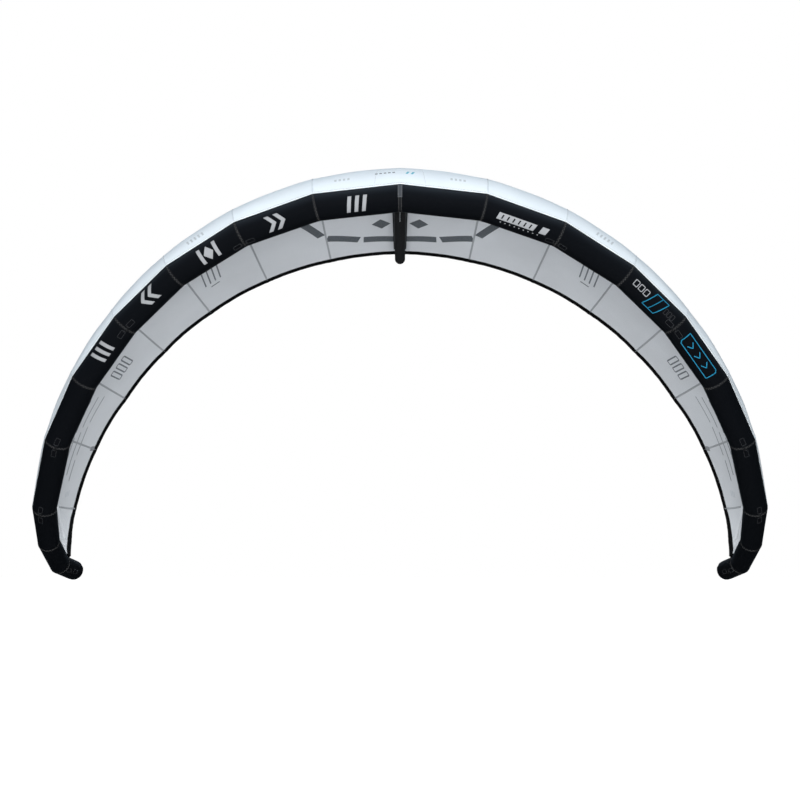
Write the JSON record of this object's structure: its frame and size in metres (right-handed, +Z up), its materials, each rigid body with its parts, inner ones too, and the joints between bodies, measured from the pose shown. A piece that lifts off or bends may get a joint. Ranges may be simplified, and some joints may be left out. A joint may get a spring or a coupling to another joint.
{
  "type": "kitesurfing kite",
  "caption": "Arched inflatable leading-edge kite with a single centre strut, panelled canopy, inflation valve, transfer hose and line attachment loops.",
  "frame": {"origin": "middle of the leading-edge tube, on the plane of symmetry", "axes": "+X along the span, +Y from the nose towards the trailing edge, +Z up, with the kite standing arch up as it flies overhead"},
  "size_m": [5.5518, 2.0232, 2.97],
  "materials": {
    "black_sleeve_cloth": "matt woven polyester, slightly sheened",
    "pale_canopy_cloth": "crisp coated ripstop",
    "grey_strut_cloth": "matt woven polyester",
    "black_edge_tape": "folded stitched tape",
    "black_webbing": "woven webbing",
    "clear_bladder_film": "thin welded film",
    "grey_valve_plastic": "moulded satin plastic",
    "valve_flap_rubber": "soft moulded rubber",
    "hose_silicone": "translucent silicone",
    "black_clamp_plastic": "moulded satin plastic",
    "pale_batten_rod": "glass-fibre rod"
  },
  "bodies": {
    "airframe": {"leading_edge_panel_left_1": "black_sleeve_cloth", "leading_edge_panel_left_2": "black_sleeve_cloth", "leading_edge_panel_left_3": "black_sleeve_cloth", "leading_edge_panel_left_4": "black_sleeve_cloth", "leading_edge_panel_left_5": "black_sleeve_cloth", "leading_edge_panel_left_6": "black_sleeve_cloth", "leading_edge_panel_left_7": "black_sleeve_cloth", "leading_edge_panel_left_8": "black_sleeve_cloth", "leading_edge_panel_left_9": "black_sleeve_cloth", "leading_edge_panel_left_10": "black_sleeve_cloth", "leading_edge_panel_right_1": "black_sleeve_cloth", "leading_edge_panel_right_2": "black_sleeve_cloth", "leading_edge_panel_right_3": "black_sleeve_cloth", "leading_edge_panel_right_4": "black_sleeve_cloth", "leading_edge_panel_right_5": "black_sleeve_cloth", "leading_edge_panel_right_6": "black_sleeve_cloth", "leading_edge_panel_right_7": "black_sleeve_cloth", "leading_edge_panel_right_8": "black_sleeve_cloth", "leading_edge_panel_right_9": "black_sleeve_cloth", "leading_edge_panel_right_10": "black_sleeve_cloth", "canopy_panel_left_1": "pale_canopy_cloth", "canopy_panel_left_2": "pale_canopy_cloth", "canopy_panel_left_3": "pale_canopy_cloth", "canopy_panel_left_4": "pale_canopy_cloth", "canopy_panel_left_5": "pale_canopy_cloth", "canopy_panel_left_6": "pale_canopy_cloth", "canopy_panel_left_7": "pale_canopy_cloth", "canopy_panel_left_8": "pale_canopy_cloth", "canopy_panel_right_1": "pale_canopy_cloth", "canopy_panel_right_2": "pale_canopy_cloth", "canopy_panel_right_3": "pale_canopy_cloth", "canopy_panel_right_4": "pale_canopy_cloth", "canopy_panel_right_5": "pale_canopy_cloth", "canopy_panel_right_6": "pale_canopy_cloth", "canopy_panel_right_7": "pale_canopy_cloth", "canopy_panel_right_8": "pale_canopy_cloth", "trailing_edge_tape_left": "black_edge_tape", "trailing_edge_tape_right": "black_edge_tape", "strut_sleeve": "grey_strut_cloth", "strut_bladder": "clear_bladder_film", "leading_edge_bladder": "clear_bladder_film", "tip_batten_left": "pale_batten_rod", "tip_batten_right": "pale_batten_rod", "inflation_valve_seat": "grey_valve_plastic", "transfer_hose": "hose_silicone", "hose_clamp_collar": "black_clamp_plastic"},
    "loop_left_2": {"bridle_loop_left_2": "black_webbing"},
    "loop_left_4": {"bridle_loop_left_4": "black_webbing"},
    "loop_left_6": {"bridle_loop_left_6": "black_webbing"},
    "loop_left_7": {"bridle_loop_left_7": "black_webbing"},
    "loop_right_2": {"bridle_loop_right_2": "black_webbing"},
    "loop_right_4": {"bridle_loop_right_4": "black_webbing"},
    "loop_right_6": {"bridle_loop_right_6": "black_webbing"},
    "loop_right_7": {"bridle_loop_right_7": "black_webbing"},
    "loop_rear_left": {"rear_line_loop_left": "black_webbing"},
    "loop_rear_right": {"rear_line_loop_right": "black_webbing"},
    "valve_insert": {"inflation_valve_insert": "grey_valve_plastic"},
    "valve_cap": {"inflation_valve_cap": "grey_valve_plastic"},
    "valve_flap": {"inflation_valve_flap": "valve_flap_rubber"},
    "clamp_lever": {"hose_clamp_lever": "black_clamp_plastic"}
  },
  "joints": [
    {"name": "loop_left_2_swing", "type": "hinge", "parent": "airframe", "child": "loop_left_2", "pos_m": [-1.06322, 0.06157, -0.30557], "axis": [0.9022, -0.1547, 0.4026], "range_deg": [-101, 49]},
    {"name": "loop_left_4_swing", "type": "hinge", "parent": "airframe", "child": "loop_left_4", "pos_m": [-1.89031, 0.209, -0.87001], "axis": [0.6578, -0.2203, 0.7203], "range_deg": [-121, 28]},
    {"name": "loop_left_6_swing", "type": "hinge", "parent": "airframe", "child": "loop_left_6", "pos_m": [-2.45572, 0.56429, -1.67291], "axis": [0.3615, -0.5357, 0.7631], "range_deg": [-102, 48]},
    {"name": "loop_left_7_swing", "type": "hinge", "parent": "airframe", "child": "loop_left_7", "pos_m": [-2.66525, 0.96247, -2.14851], "axis": [0.2071, -0.6697, 0.7131], "range_deg": [-80, 36]},
    {"name": "loop_right_2_swing", "type": "hinge", "parent": "airframe", "child": "loop_right_2", "pos_m": [1.06322, 0.06157, -0.30557], "axis": [0.9022, 0.1547, -0.4026], "range_deg": [-101, 49]},
    {"name": "loop_right_4_swing", "type": "hinge", "parent": "airframe", "child": "loop_right_4", "pos_m": [1.89031, 0.209, -0.87001], "axis": [0.6578, 0.2203, -0.7203], "range_deg": [-121, 28]},
    {"name": "loop_right_6_swing", "type": "hinge", "parent": "airframe", "child": "loop_right_6", "pos_m": [2.45572, 0.56429, -1.67291], "axis": [0.3615, 0.5357, -0.7631], "range_deg": [-102, 48]},
    {"name": "loop_right_7_swing", "type": "hinge", "parent": "airframe", "child": "loop_right_7", "pos_m": [2.66525, 0.96247, -2.14851], "axis": [0.2071, 0.6697, -0.7131], "range_deg": [-80, 36]},
    {"name": "loop_rear_left_swing", "type": "hinge", "parent": "airframe", "child": "loop_rear_left", "pos_m": [-2.60585, 1.69116, -2.59047], "axis": [-0.2668, -0.9541, 0.1362], "range_deg": [-10, 139]},
    {"name": "loop_rear_right_swing", "type": "hinge", "parent": "airframe", "child": "loop_rear_right", "pos_m": [2.60585, 1.69116, -2.59047], "axis": [-0.2668, 0.9541, -0.1362], "range_deg": [-10, 139]},
    {"name": "valve_insert_turn", "type": "hinge", "parent": "airframe", "child": "valve_insert", "pos_m": [0.3, 0.12015, -0.02826], "axis": [0, 1, 0], "range_deg": [0, 90]},
    {"name": "valve_cap_flip", "type": "hinge", "parent": "valve_insert", "child": "valve_cap", "pos_m": [0.3, 0.13175, -0.00826], "axis": [1, 0, 0], "range_deg": [0, 150]},
    {"name": "valve_flap_open", "type": "hinge", "parent": "valve_insert", "child": "valve_flap", "pos_m": [0.3, 0.10425, -0.01576], "axis": [-1, 0, 0], "range_deg": [0, 60]},
    {"name": "clamp_lever_turn", "type": "hinge", "parent": "airframe", "child": "clamp_lever", "pos_m": [0.13975, 0.29238, 0.1256], "axis": [-0.0186, 0.5669, -0.8236], "range_deg": [0, 90]}
  ]
}
